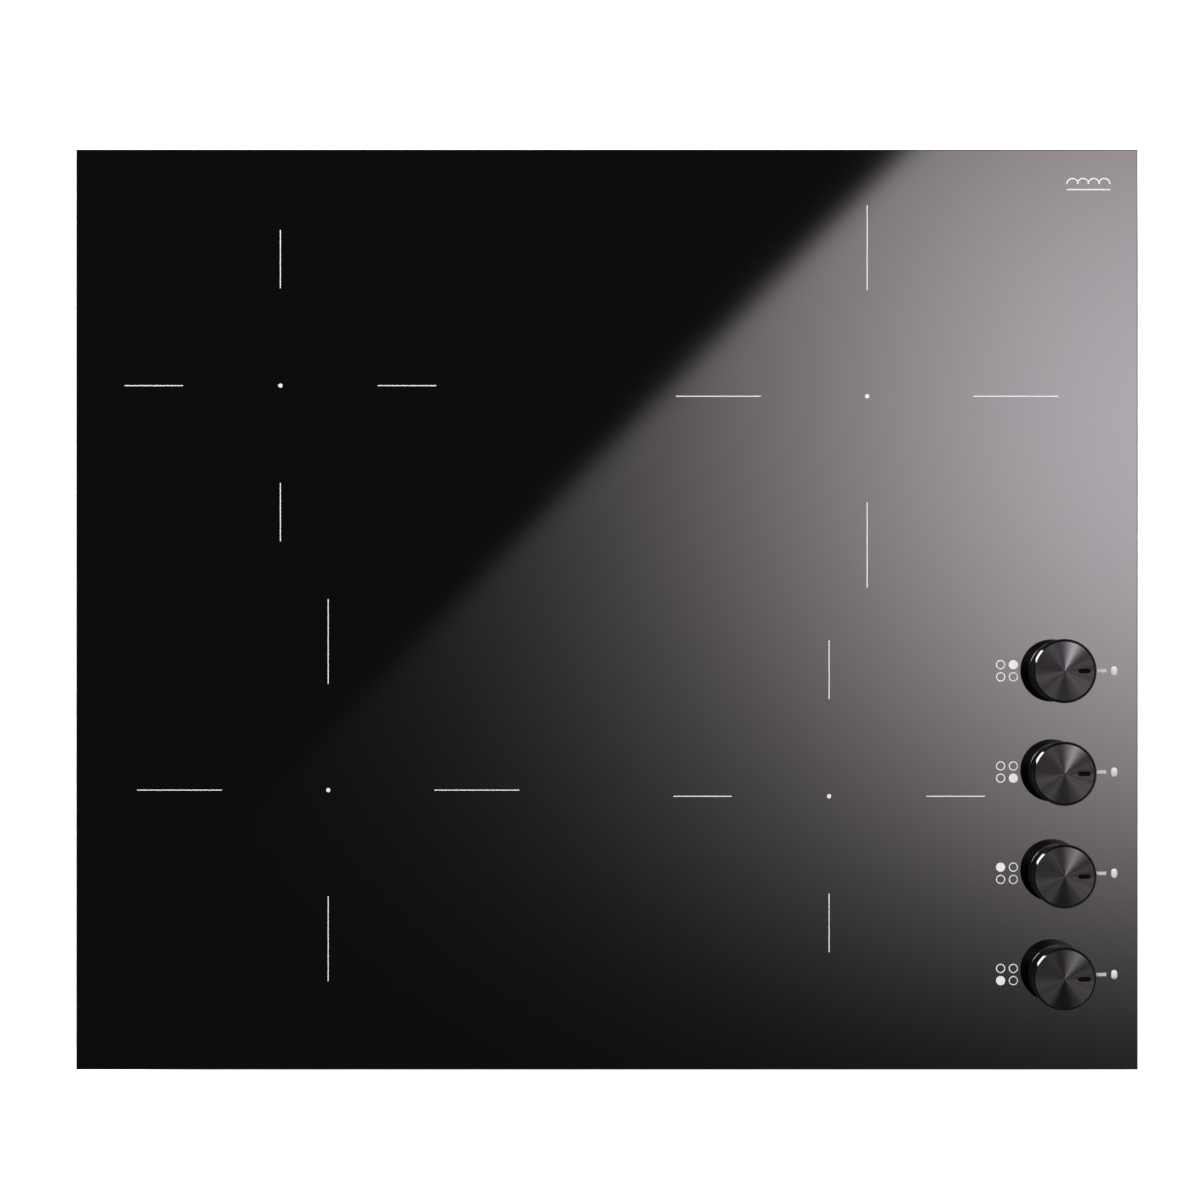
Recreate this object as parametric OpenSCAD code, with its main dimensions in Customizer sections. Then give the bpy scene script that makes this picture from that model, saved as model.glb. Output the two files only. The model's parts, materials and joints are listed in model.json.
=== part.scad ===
// Built-in induction cooktop with four control knobs, in millimetres.
// Origin: middle of the casing's bottom face. +X right, +Y rear, +Z up.

/* [Glass] */
// Width of the glass plate
glass_w = 600; // [596:1:604]
// Depth of the glass plate, front to rear
glass_d = 520; // [516:1:524]
// Thickness of the glass plate
glass_t = 4; // [3.5:0.5:5]
// Height of the underside of the glass above the bottom of the casing
glass_z = 52; // [52:1:58]
// Chamfer ground on the glass edges
glass_chamfer = 0.6; // [0.4:0.1:1]

/* [Casing] */
// Width of the sheet metal casing
tray_w = 554; // [552:1:556]
// Depth of the casing, front to rear
tray_d = 484; // [482:1:486]
// Thickness of the sheet metal
sheet_t = 0.8; // [0.7:0.1:1]
// Width of the inward flange that the glass is bonded to
flange_w = 6; // [5:0.5:6]
// Thickness of the silicone bead on the flange
bead_t = 1; // [0.8:0.1:1.2]
// Width of the gasket tape under the rim of the glass
gasket_w = 8; // [6:1:10]
// Thickness of the gasket tape
gasket_t = 2.5; // [2:0.5:3]

/* [Cooking zones] */
// Sideways place of the rear left zone
rear_left_x = -184.5; // [-185.5:0.5:-183.5]
// Front to rear place of the rear left zone
rear_left_y = 126.5; // [125.5:0.5:127.5]
// Sideways place of the rear right zone
rear_right_x = 147; // [146:0.5:148]
// Front to rear place of the rear right zone
rear_right_y = 120.5; // [119.5:0.5:121.5]
// Sideways place of the front left zone
front_left_x = -157.5; // [-158.5:0.5:-156.5]
// Front to rear place of the front left zone
front_left_y = -102; // [-103:0.5:-101]
// Sideways place of the front right zone
front_right_x = 125.5; // [124.5:0.5:126.5]
// Front to rear place of the front right zone
front_right_y = -105.5; // [-106.5:0.5:-104.5]
// Radius of a small coil carrier
small_carrier_r = 85; // [82:1:85]
// Radius of a large coil carrier
large_carrier_r = 104; // [100:1:104]
// Where the bars of a small zone mark begin
small_mark_in_r = 55; // [45:1:65]
// Where the bars of a small zone mark end
small_mark_r = 88; // [80:1:90]
// Where the bars of a large zone mark begin
large_mark_in_r = 60; // [50:1:80]
// Where the bars of a large zone mark end
large_mark_r = 108; // [100:1:110]
// Width of the printed bars
mark_bar_w = 0.55; // [0.5:0.05:1.2]
// Diameter of the printed dot in the middle of a zone
mark_dot_d = 2.4; // [2:0.2:4]

/* [Knobs] */
// Sideways place of the row of knobs
knob_x = 254.8; // [254:0.1:256]
// Front to rear place of the rearmost knob
knob_y = -34.6; // [-36:0.1:-34]
// Distance from one knob to the next
knob_pitch = 57.2; // [56:0.1:58]
// Height of a knob
knob_h = 20.8; // [18:0.2:24]
// Radius of a knob at its rim
knob_rim_r = 17.9; // [17.5:0.1:18.5]
// Radius of a knob at its base
knob_base_r = 16.2; // [15.8:0.1:16.8]
// Gap between a knob and the glass
knob_gap = 1.2; // [1:0.1:1.6]
// Radius of the metal disc in the top of a knob
knob_disc_r = 16.45; // [16:0.05:16.5]
// Distance from the middle of a knob to the near end of its index slot
index_from = 7.5; // [7:0.1:9]
// Distance from the middle of a knob to the far end of its index slot
index_to = 14.4; // [13:0.1:15]
// Width of the index slot
index_w = 2.6; // [2:0.1:3]

/* [Mains connection] */
// Radius of the cable outlet
cable_r = 5.75; // [5:0.25:6]
// Place of the cable outlet along the rear wall
cable_x = 30; // [28:1:32]
// Height of the cable outlet
cable_z = 15; // [14:0.5:16]

/* [Hidden] */
$fn = 64;
eps = 0.01;

// Prints on the glass; places are measured from the middle of a knob
print_t = 0.1;
dial_x = -28.8;
dial_dot_x = 3.6;
dial_dot_y = 3.45;
dial_ring_r = 2.6;
dial_line_w = 0.55;
off_tick_from = 20.7;
off_tick_l = 6.6;
off_tick_w = 1.9;
off_oval_x = 31.8;
off_oval_l = 5.2;
off_oval_w = 3.4;
symbol_at = [272, 240.4];
symbol_loops = 4;
symbol_pitch = 6;
symbol_loop_r = 3.5;
symbol_line_w = 0.7;

// Inside of the casing
tray_top = glass_z - bead_t;
wall_y = tray_d / 2 - sheet_t;
tray_corner_r = 5;
gasket_inset = 1.5;
swage_w = 8;
vent_w = 3;
vent_h = 16;
vent_pitch = 8;
clip_z = glass_z - 12;
clip_y = [-150, 150];
clip_w = 20;
clip_outline = [
    [0, 46], [0.8, 46], [0.8, 36], [6.2, 26], [6.2, 20], [1.6, 9],
    [0.8, 9.2], [5.4, 20.2], [5.4, 25.8], [0, 35.8]
];

// Heights of the coil stack, from the glass down
mat_t = 5.1;
litz_d = 3.4;
carrier_t = 2;
spring_h = 6.8;
ferrite_t = 4;
plate_t = 1.2;
winding_z = glass_z - mat_t - litz_d;
carrier_z = winding_z - carrier_t;
plate_top = carrier_z - spring_h;
plate_z = plate_top - plate_t;

// Coils: each zone is [middle, carrier radius, ferrite bars, angle of its first lead]
zones = [
    [[rear_left_x, rear_left_y], small_carrier_r, 6, -33.9],
    [[rear_right_x, rear_right_y], large_carrier_r, 8, 247.5],
    [[front_left_x, front_left_y], large_carrier_r, 8, 60.7],
    [[front_right_x, front_right_y], small_carrier_r, 6, 101.5]
];
carrier_rim_w = 4.5;
carrier_spoke_w = 20;
carrier_rib_w = 12;
winding_in_r = 26;
winding_margin = 9;
litz_pitch = 3.3;
hub_r = 22;
ferrite_w = 14;
sensor_r = 7.5;
sensor_play = 0.3;
lead_r = 1.5;
lead_offset = 1.8;
lead_hole_r = 2.4;
lead_post_w = 8;
spring_r = 4.5;
spring_wire_r = 0.5;
spring_turns = 3;
springs_per_coil = 3;
spring_ring = 0.68;
rail_lip = 4.5;
rail_foot = 14;
rail_x = [-262, 262];
plate_reach = 272;
plate_gap = 4;
plate_end = wall_y - 1.5;
plate_step = [100, 232];
rail_front_end = 230;

// Electronics
board_z = 6;
board_t = 1.6;
board_top = board_z + board_t;
board_in = 58;
board_out = 228;
board_front = -150;
board_rear = 110;
filter_half_w = 48;
filter_front = -60;
filter_rear = 160;
boss_r = 4;
screw_r = 1.6;
screw_l = 5;
screw_head_r = 3.2;
screw_head_h = 2.2;
recess_l = 3.6;
recess_w = 0.8;
hole_inset = 7;
sink_in = 145;
sink_out = 183;
sink_front = -120;
sink_rear = 104;
sink_z = 13;
sink_top = 30;
sink_base_t = 4;
sink_fins = 9;
fin_t = 1.4;
transistors = [-100, -60, -20, 20];
transistor_size = [16, 20, 5];
pin_w = 1.2;
pin_reach = 6;
pin_pitch = 5;
bridge_size = [30, 22];
bridge_y = 62;
plug_low = [-36, 146];
plug_high = [16, 158];
plug_h = 11;
bus_capacitors_y = [-118, -80, -42, 52];
bus_capacitors_x = 77;
bus_capacitor_size = [20, 32];
bus_capacitor_h = 22;
tank_capacitors_y = [-122, -86];
tank_capacitors_x = 118;
tank_capacitor_size = [40, 24];
tank_capacitor_h = 20;
line_capacitors_y = [92, 122];
line_capacitor_size = [40, 20];
line_capacitor_h = 18;
line_chokes_y = [-32, 12, 56];
line_choke_h = 16;
bus_choke_at = [206, -60];
bus_choke_h = 14;
choke_wall = 9;

// Blowers
blower_x = 140;
blower_y = 178;
blower_r = 44;
blower_wall = 1.8;
blower_top = 29.2;
blower_duct_w = 40;
blower_front = 112;
blower_intake_r = 30;
rotor_r = 37;
rotor_blades = 22;
rotor_pin_r = 1.5;
rotor_pin_h = 14;
rotor_z = 6;
rotor_top = 25.2;
rotor_plate_t = 1.2;
rotor_ring_w = 7;
rotor_hub_r = 14;
rotor_hub_wall = 2.5;
rotor_hub_z = 8;
blade_l = 6;
blade_t = 0.9;
blade_angle = 35;
motor_r = 9;
motor_z = 11;

// Controls
bracket_x0 = 237;
bracket_x1 = 272.5;
bracket_y0 = -237;
bracket_y1 = -9;
bracket_z = 35;
bracket_wall = 1.5;
bracket_ledge = 4;
bracket_foot_w = 8;
chip_w = 12;
chip_t = 1.4;
ribbon_x = 234;
ribbon_y = [-118, -98];
ribbon_z = 12;
ribbon_t = 0.6;
ribbon_end_l = 10;
ribbon_plug_x = 216;
ribbon_plug_w = 8;
panel_z = 39;
panel_t = 1.6;
encoder_w = 14;
encoder_h = 7;
encoder_z = panel_z + panel_t;
bushing_r = 3.5;
shaft_r = 3;
shaft_play = 0.05;
shaft_hole_r = 5.5;
glass_top_z = glass_z + glass_t;
knob_z = glass_top_z + knob_gap;
knob_top = knob_z + knob_h;
knob_wall = 2;
knob_foot = 0.4;
bevel_w = knob_rim_r - knob_disc_r - 0.15;
bevel_h = 0.8;
rib_t = 1.2;
bezel_r = knob_base_r + 0.4;
bezel_w = 2;
bezel_h = knob_gap - 0.3;
bezel_edge_r = 0.45;
seal_flange_w = 1.5;
seal_flange_t = 0.6;
disc_t = 0.8;
disc_sunk = 0.25;
hub_out_r = 5.5;
hub_h = knob_h - disc_sunk - disc_t - knob_wall;
key_z = 4;
key_flat = 1;
shaft_top = knob_z + hub_h - 0.8;
knobs = [for (i = [0:3]) knob_y - i * knob_pitch];

// Terminal box, let into the floor from below
box_x = 46;
box_y0 = 178;
box_top = 28;
box_wall = 2;
box_rim = 6;
floor_gap_x = 43;
floor_gap_y0 = 180.5;
floor_gap_y1 = 238;
hinge_y = 184;
hinge_z = 2.6;
barrel_r = 2.2;
hinge_pin_r = 1.2;
cover_half_w = 42.4;
cover_t = 2;
cover_ribs_x = [-30, 0, 30];
cover_rib_t = 1.2;
cover_rib_top = 4;
catch_half_w = 8;
catch_y = 235.2;
catch_t = 1.5;
catch_top = 8;
poles = 5;
pole_pitch = 9.4;
block_x0 = -42;
block_y0 = 198;
block_y1 = 222;
block_z = 12;
pole_y = block_y0 + 12;
wire_z = 16;
wire_r = 1.5;
wire_hole_r = 1.9;
clamp_y = 228;
clamp_z = 6;
clamp_t = 3;
clamp_screw_x = 9.5;
clamp_half_l = 13.5;
clamp_half_w = 4.5;
grommet_wall = 2.25;
grommet_flange = 4;

// Shared shapes

module block(low, high) {
    translate(low) cube(high - low);
}

module round_rect(w, d, r) {
    square([w - 2 * r, d], center = true);
    square([w, d - 2 * r], center = true);
    for (x = [-1, 1], y = [-1, 1]) translate([x * (w / 2 - r), y * (d / 2 - r)]) circle(r);
}

module ring(r_out, r_in) {
    difference() {
        circle(r_out);
        circle(r_in);
    }
}

module slot(length, width) {
    square([length - width, width], center = true);
    for (x = [-1, 1]) translate([x * (length - width) / 2, 0]) circle(width / 2);
}

module at_zones() {
    for (zone = zones) translate(zone[0]) children();
}

function winding_out_r(zone) = zone[1] - winding_margin;
function lead_angles(zone) = [zone[3], zone[3] - sign(zone[0].x) * 9];
function lead_at(zone, angle) =
    zone[0] + (winding_out_r(zone) + lead_offset) * [cos(angle), sin(angle)];
lead_places = [for (zone = zones, angle = lead_angles(zone)) lead_at(zone, angle)];
function spring_at(zone, i) =
    zone[0] + spring_ring * zone[1] * [cos(spring_angle(zone, i)), sin(spring_angle(zone, i))];
function spring_angle(zone, i) = 360 / zone[2] * (round(i * zone[2] / springs_per_coil) + 0.5);
spring_places = [for (zone = zones, i = [0:springs_per_coil - 1]) spring_at(zone, i)];

// Places of the screws
board_holes_x = [board_in + hole_inset, board_out - hole_inset];
board_holes_y = [board_front + hole_inset, board_rear - hole_inset];
power_board_holes = [for (side = [-1, 1], x = board_holes_x, y = board_holes_y) [side * x, y]];
filter_board_holes = [
    for (x = [-1, 1], y = [filter_front + hole_inset, filter_rear - hole_inset])
        [x * (filter_half_w - hole_inset), y]
];
board_holes = concat(power_board_holes, filter_board_holes);
plate_holes = [for (x = [-250, -20, 20, 220], y = [-1, 1]) [x, y * (wall_y - 8)]];

// Glass and what is printed on it

module glass_top() color("black") difference() {
    intersection() {
        rotate([90, 0, 0]) linear_extrude(glass_d, center = true)
            chamfered_section(glass_w);
        rotate([90, 0, 90]) linear_extrude(glass_w, center = true)
            chamfered_section(glass_d);
    }
    for (y = knobs) translate([knob_x, y, glass_z - 1]) cylinder(h = glass_t + 2, r = shaft_hole_r);
}

module chamfered_section(width) {
    half = width / 2;
    c = glass_chamfer;
    polygon([
        [-half + c, glass_z], [half - c, glass_z], [half, glass_z + c],
        [half, glass_top_z - c], [half - c, glass_top_z], [-half + c, glass_top_z],
        [-half, glass_top_z - c], [-half, glass_z + c]
    ]);
}

module zone_markings() color("white") translate([0, 0, glass_top_z]) linear_extrude(print_t) {
    at_zones() circle(d = mark_dot_d);
    for (zone = zones) translate(zone[0]) zone_cross(zone[1] == large_carrier_r);
}

// Four bars that leave the middle of the zone open
module zone_cross(large) {
    from = large ? large_mark_in_r : small_mark_in_r;
    to = large ? large_mark_r : small_mark_r;
    for (a = [0:90:270]) rotate(a) translate([from, -mark_bar_w / 2]) square([to - from, mark_bar_w]);
}

// For each knob: which zone it works, where off is, and an oval beside that line
module dial_markings() color("white") translate([0, 0, glass_top_z]) linear_extrude(print_t) {
    filled = [[1, 1], [1, -1], [-1, 1], [-1, -1]];
    for (i = [0:3]) translate([knob_x, knobs[i]]) {
        for (x = [-1, 1], y = [-1, 1]) translate([dial_x + dial_dot_x * x, dial_dot_y * y]) {
            if (filled[i] == [x, y]) circle(dial_ring_r);
            else ring(dial_ring_r, dial_ring_r - dial_line_w);
        }
        translate([off_tick_from, -off_tick_w / 2]) square([off_tick_l, off_tick_w]);
        translate([off_oval_x, 0]) rotate(90) slot(off_oval_l, off_oval_w);
    }
    translate(symbol_at) coil_symbol();
}

// A row of open loops over a line, the usual sign for an induction coil
module coil_symbol() {
    width = symbol_loops * symbol_pitch + symbol_line_w;
    for (i = [0:symbol_loops - 1]) translate([(i - (symbol_loops - 1) / 2) * symbol_pitch, 0])
        intersection() {
            ring(symbol_loop_r, symbol_loop_r - symbol_line_w);
            translate([-symbol_loop_r, 0]) square([2 * symbol_loop_r, symbol_loop_r]);
        }
    translate([-width / 2, -symbol_loop_r]) square([width, symbol_line_w]);
}

// Casing and seals

module worktop_gasket() color("dimgray") translate([0, 0, glass_z - gasket_t])
    linear_extrude(gasket_t) difference() {
        gasket_outline(gasket_inset);
        gasket_outline(gasket_inset + gasket_w);
    }

module gasket_outline(inset) {
    square([glass_w - 2 * inset, glass_d - 2 * inset], center = true);
}

module glass_bond_bead() color("gray") translate([0, 0, tray_top])
    linear_extrude(bead_t) difference() {
        round_rect(tray_w, tray_d, tray_corner_r);
        round_rect(tray_w - 2 * flange_w + 1, tray_d - 2 * flange_w + 1, tray_corner_r - 2);
    }

module bottom_tray() color("lightgray") difference() {
    union() {
        tray_shell();
        for (at = board_holes) translate(at) cylinder(h = board_z, r = boss_r);
        swages(sheet_t + 1, sheet_t);
    }
    swages(1, 0);
    for (at = board_holes) translate(at) translate([0, 0, -1]) cylinder(h = board_z + 2, r = screw_r);
    for (side = [-1, 1]) translate([side * blower_x, blower_y, -1]) intake_slots();
    outlet_slots();
    block([-floor_gap_x, floor_gap_y0, -1], [floor_gap_x, floor_gap_y1, sheet_t + 1]);
    translate([cable_x, wall_y - 1, cable_z]) rotate([-90, 0, 0])
        cylinder(h = 4, r = cable_r + grommet_wall);
    for (y = clip_y) translate([0, y, clip_z]) rotate([0, 90, 0])
        cylinder(h = tray_w + 2, r = screw_r, center = true);
}

module tray_shell() difference() {
    linear_extrude(tray_top) round_rect(tray_w, tray_d, tray_corner_r);
    translate([0, 0, sheet_t]) linear_extrude(tray_top - 2 * sheet_t)
        round_rect(tray_w - 2 * sheet_t, tray_d - 2 * sheet_t, tray_corner_r - sheet_t);
    translate([0, 0, sheet_t]) linear_extrude(tray_top)
        round_rect(tray_w - 2 * flange_w, tray_d - 2 * flange_w, tray_corner_r - 2);
}

// Long ribs pressed into the floor from below
module swages(height, grow) {
    for (x = [-200, -143, -86, 86, 143, 200]) translate([x, -185, 0]) swage(60, height, grow);
    for (x = [-25, 25]) translate([x, -150, 0]) swage(120, height, grow);
}

module swage(length, height, grow) {
    linear_extrude(height) rotate(90) slot(length + 2 * grow, swage_w + 2 * grow);
}

module intake_slots() {
    slots = 20;
    for (i = [0:slots - 1]) rotate(i * 360 / slots)
        translate([12, -vent_w / 2, 0]) cube([16, vent_w, sheet_t + 2]);
}

// Rows of slots in the front, side and rear walls
module outlet_slots() {
    depth = 4;
    for (side = [-1, 1]) translate([0, 0, 10 + vent_h / 2]) {
        for (i = [0:19]) translate([side * (63.5 + vent_pitch * i), -tray_d / 2, 0])
            cube([vent_w, depth, vent_h], center = true);
        for (i = [0:13]) translate([side * tray_w / 2, -110 + vent_pitch * i, 0])
            cube([depth, vent_w, vent_h], center = true);
        for (i = [0:9]) translate([side * (110 + vent_pitch * i), tray_d / 2, 0])
            cube([vent_w, depth, vent_h], center = true);
    }
}

// Angles along the rear and front walls; the front one stops short of the controls
module plate_rails() color("silver") for (end = [-1, 1]) {
    reach = end > 0 ? rail_x[1] : rail_front_end;
    difference() {
        union() {
            rail_leg(end, reach, plate_z - rail_lip, 1);
            rail_leg(end, reach, plate_z - 1, rail_foot);
        }
        for (at = plate_holes) translate([at.x, at.y, plate_z - 3]) cylinder(h = 5, r = screw_r);
    }
}

module rail_leg(end, reach, z, width) {
    y0 = end > 0 ? wall_y - width : -wall_y;
    block([rail_x[0], y0, z], [reach, y0 + width, plate_z]);
}

// Coils

module coil_plate(side) difference() {
    translate([0, 0, plate_z]) linear_extrude(plate_t) difference() {
        if (side < 0) plate_outline([-plate_reach, -plate_end], [-plate_gap, plate_end]);
        else {
            plate_outline([plate_gap, -plate_end], [plate_step[1], plate_end]);
            plate_outline([plate_step[0], plate_gap], [plate_reach, plate_end]);
        }
        for (zone = zones) translate(zone[0]) {
            circle(24);
            for (i = [0:zone[2] - 1]) rotate(360 / zone[2] * i) translate([0.55 * zone[1], 0])
                slot(26, 8);
        }
        for (at = lead_places) translate(at) circle(lead_hole_r + 1);
        for (at = plate_holes) translate(at) circle(screw_r);
    }
}

module plate_outline(low, high) {
    translate((low + high) / 2) round_rect(high.x - low.x, high.y - low.y, 6);
}

module left_coil_plate() color("gainsboro") coil_plate(-1);
module right_coil_plate() color("gainsboro") coil_plate(1);

module coil_carrier(zone) color("dimgray") difference() {
    r = zone[1];
    union() {
        translate([zone[0].x, zone[0].y, carrier_z]) {
            linear_extrude(carrier_t) {
                ring(r, r - carrier_rim_w - winding_margin);
                ring(hub_r + 10, sensor_r + sensor_play);
                for (i = [0:zone[2] - 1]) rotate(360 / zone[2] * i) {
                    spoke(r, carrier_spoke_w);
                    rotate(180 / zone[2]) spoke(r, carrier_rib_w);
                }
            }
            linear_extrude(carrier_t + litz_d) {
                ring(r, r - carrier_rim_w);
                ring(hub_r, sensor_r + sensor_play);
            }
        }
    }
    for (at = lead_places) translate([at.x, at.y, carrier_z - 1]) cylinder(h = 8, r = lead_hole_r);
}

module spoke(r, width) {
    translate([hub_r, -width / 2]) square([r - hub_r - 6, width]);
}

// One spiral of litz wire, drawn as its rows of turns
module winding(zone) color("peru")
    translate([zone[0].x, zone[0].y, winding_z + litz_d / 2]) rotate_extrude($fn = 120)
        for (r = [winding_in_r + litz_d / 2:litz_pitch:winding_out_r(zone) - litz_d / 2])
            translate([r, 0]) circle(d = litz_d, $fn = 24);

module ferrite_bars() color("darkslategray") for (zone = zones, i = [0:zone[2] - 1])
    translate([zone[0].x, zone[0].y, carrier_z - ferrite_t]) rotate(360 / zone[2] * i)
        translate([winding_in_r + 2, -ferrite_w / 2, 0])
            cube([winding_out_r(zone) - winding_in_r - 4, ferrite_w, ferrite_t]);

module insulation_mats() color("whitesmoke") for (zone = zones)
    translate([zone[0].x, zone[0].y, glass_z - mat_t]) linear_extrude(mat_t)
        ring(zone[1] - carrier_rim_w - 1, sensor_r + 1);

module temperature_sensors() color("firebrick") at_zones() {
    translate([0, 0, carrier_z - 3]) cylinder(h = glass_z - carrier_z + 3, r = sensor_r - 1);
    translate([0, 0, carrier_z - 3]) cylinder(h = 2.5, r = sensor_r + 2);
}

// Compression springs between the coil plates and the carriers
module carrier_springs() color("silver") for (at = spring_places)
    translate([at.x, at.y, plate_top]) coil_spring();

module coil_spring() {
    steps = 8 * spring_turns;
    sides = 6;
    rise = spring_h - 2 * spring_wire_r;
    points = [
        for (i = [0:steps], j = [0:sides - 1])
            spring_point(i * 360 * spring_turns / steps, j * 360 / sides,
                spring_wire_r + rise * i / steps)
    ];
    walls = [
        for (i = [0:steps - 1], j = [0:sides - 1])
            let (k = (j + 1) % sides, a = i * sides, b = a + sides)
                each [[a + j, a + k, b + k], [a + j, b + k, b + j]]
    ];
    ends = [
        [for (j = [sides - 1:-1:0]) j],
        [for (j = [0:sides - 1]) steps * sides + j]
    ];
    polyhedron(points, concat(walls, ends), convexity = 6);
}

function spring_point(turn, around, height) =
    let (r = spring_r + spring_wire_r * cos(around))
        [r * cos(turn), r * sin(turn), height + spring_wire_r * sin(around)];

module coil_leads() color("saddlebrown") for (at = lead_places)
    translate([at.x, at.y, board_top + lead_post_w])
        cylinder(h = winding_z + litz_d - board_top - lead_post_w, r = lead_r);

module lead_terminals() color("goldenrod") for (at = lead_places)
    translate([at.x, at.y, board_top]) linear_extrude(lead_post_w)
        square(lead_post_w, center = true);

// Electronics on the floor of the casing

module power_board(side) color("darkgreen") translate([0, 0, board_z]) linear_extrude(board_t)
    difference() {
        translate([side * (board_in + board_out) / 2, (board_front + board_rear) / 2])
            square([board_out - board_in, board_rear - board_front], center = true);
        for (at = board_holes) translate(at) circle(screw_r);
    }

module left_power_board() power_board(-1);
module right_power_board() power_board(1);

module filter_board() color("darkgreen") {
    translate([0, 0, board_z]) linear_extrude(board_t) difference() {
        translate([0, (filter_front + filter_rear) / 2])
            square([2 * filter_half_w, filter_rear - filter_front], center = true);
        for (at = board_holes) translate(at) circle(screw_r);
    }
    block([each plug_low, board_top], [each plug_high, board_top + plug_h]);
}

// Extruded aluminium, fins along the air stream
module heatsink(side) color("silver") rotate([90, 0, 0])
    translate([side * (sink_in + sink_out) / 2, 0, -sink_rear])
        linear_extrude(sink_rear - sink_front) {
            w = sink_out - sink_in;
            translate([-w / 2, sink_z]) square([w, sink_base_t]);
            for (i = [0:sink_fins - 1])
                translate([-w / 2 + i * (w - fin_t) / (sink_fins - 1), sink_z])
                    square([fin_t, sink_top - sink_z]);
        }

module left_heatsink() heatsink(-1);
module right_heatsink() heatsink(1);

// Under each heatsink: four transistors and a bridge rectifier, clamped flat
module power_semiconductors() color("black") for (side = [-1, 1]) {
    x = side * (sink_in + sink_out) / 2;
    for (y = transistors) translate([x, y, sink_z - transistor_size.z]) {
        translate([-transistor_size.x / 2, -transistor_size.y / 2, 0]) cube(transistor_size);
        for (pin = [-1:1]) translate([pin * pin_pitch - pin_w / 2, transistor_size.y / 2, 1]) {
            cube([pin_w, pin_reach, 1]);
            translate([0, pin_reach - 1, board_top - sink_z + transistor_size.z - 1])
                cube([pin_w, 1, sink_z - board_top - transistor_size.z + 1]);
        }
    }
    translate([x - bridge_size.x / 2, bridge_y, board_top])
        cube([bridge_size.x, bridge_size.y, sink_z - board_top]);
}

module film_capacitors() color("royalblue") {
    for (side = [-1, 1], y = bus_capacitors_y) translate([side * bus_capacitors_x, y])
        capacitor(bus_capacitor_size, bus_capacitor_h);
    for (side = [-1, 1], y = tank_capacitors_y) translate([side * tank_capacitors_x, y])
        capacitor(tank_capacitor_size, tank_capacitor_h);
    for (y = line_capacitors_y) translate([0, y]) capacitor(line_capacitor_size, line_capacitor_h);
}

module capacitor(size, height) {
    translate([0, 0, board_top]) linear_extrude(height) round_rect(size.x, size.y, 1.5);
}

module filter_chokes() color("darkorange") {
    for (y = line_chokes_y) translate([0, y]) choke(9, line_choke_h);
    for (side = [-1, 1]) translate([side * bus_choke_at.x, bus_choke_at.y]) choke(7, bus_choke_h);
}

module choke(bore_r, height) {
    translate([0, 0, board_top]) rotate_extrude() translate([bore_r, 0]) square([choke_wall, height]);
}

// Blowers: air comes in from below and leaves forwards over the heatsink

module blower_outline(side, grow) {
    circle(blower_r - grow);
    outer = blower_r - grow;
    inner = blower_r - blower_duct_w + grow;
    translate([side > 0 ? inner : -outer, blower_front - blower_y])
        square([outer - inner, blower_y - blower_front]);
}

module blower_housing(side) color("darkslateblue") translate([side * blower_x, blower_y, 0]) {
    difference() {
        translate([0, 0, sheet_t]) linear_extrude(blower_top - sheet_t) blower_outline(side, 0);
        translate([0, 0, sheet_t + blower_wall]) linear_extrude(blower_top - sheet_t - 2 * blower_wall)
            blower_outline(side, blower_wall);
        cylinder(h = 10, r = blower_intake_r);
        duct_mouth(side);
    }
    difference() {
        translate([0, 0, motor_z])
            cylinder(h = blower_top - motor_z - blower_wall + eps, r = motor_r);
        translate([0, 0, motor_z - 1]) cylinder(h = rotor_pin_h, r = rotor_pin_r + shaft_play);
    }
}

module duct_mouth(side) {
    outer = blower_r - blower_wall;
    inner = blower_r - blower_duct_w + blower_wall;
    x0 = side > 0 ? inner : -outer;
    y0 = blower_front - blower_y;
    block([x0, y0 - 1, sheet_t + blower_wall], [x0 + outer - inner, y0 + 3, blower_top - blower_wall]);
}

module left_blower_housing() blower_housing(-1);
module right_blower_housing() blower_housing(1);

module blower_rotor(side) color("ivory") translate([side * blower_x, blower_y, 0]) {
    translate([0, 0, rotor_z]) linear_extrude(1) ring(rotor_r, rotor_r - rotor_ring_w);
    translate([0, 0, rotor_top - rotor_plate_t]) linear_extrude(rotor_plate_t)
        ring(rotor_r, rotor_hub_r - rotor_hub_wall);
    translate([0, 0, rotor_z]) linear_extrude(rotor_top - rotor_z - 0.7)
        for (i = [0:rotor_blades - 1]) rotate(i * 360 / rotor_blades)
            translate([rotor_r - 3.6, 0]) rotate(side * blade_angle)
                square([blade_l, blade_t], center = true);
    difference() {
        translate([0, 0, rotor_hub_z]) cylinder(h = rotor_top - rotor_hub_z, r = rotor_hub_r);
        translate([0, 0, rotor_hub_z + 1.5]) cylinder(h = rotor_top, r = rotor_hub_r - rotor_hub_wall);
    }
    translate([0, 0, rotor_hub_z + 1]) cylinder(h = rotor_pin_h, r = rotor_pin_r);
}

module left_blower_rotor() blower_rotor(-1);
module right_blower_rotor() blower_rotor(1);

// Controls

module control_bracket() color("slategray") {
    top = panel_z + panel_t;
    difference() {
        bracket_block(0, bracket_z, top);
        bracket_block(bracket_wall, panel_z, top + 1);
        bracket_block(bracket_ledge, bracket_z + bracket_wall, panel_z + 1);
        block([bracket_x0 - 1, ribbon_y[0] - 2, panel_z - 1],
            [bracket_x0 + bracket_ledge + 1, ribbon_y[1] + 2, top + 1]);
    }
    for (x = [bracket_x0 + 1, bracket_x1 - 1 - bracket_foot_w])
        for (y = [bracket_y0 + 6, bracket_y1 - 6 - bracket_foot_w])
            block([x, y, sheet_t], [x + bracket_foot_w, y + bracket_foot_w, bracket_z + 1]);
}

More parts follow.
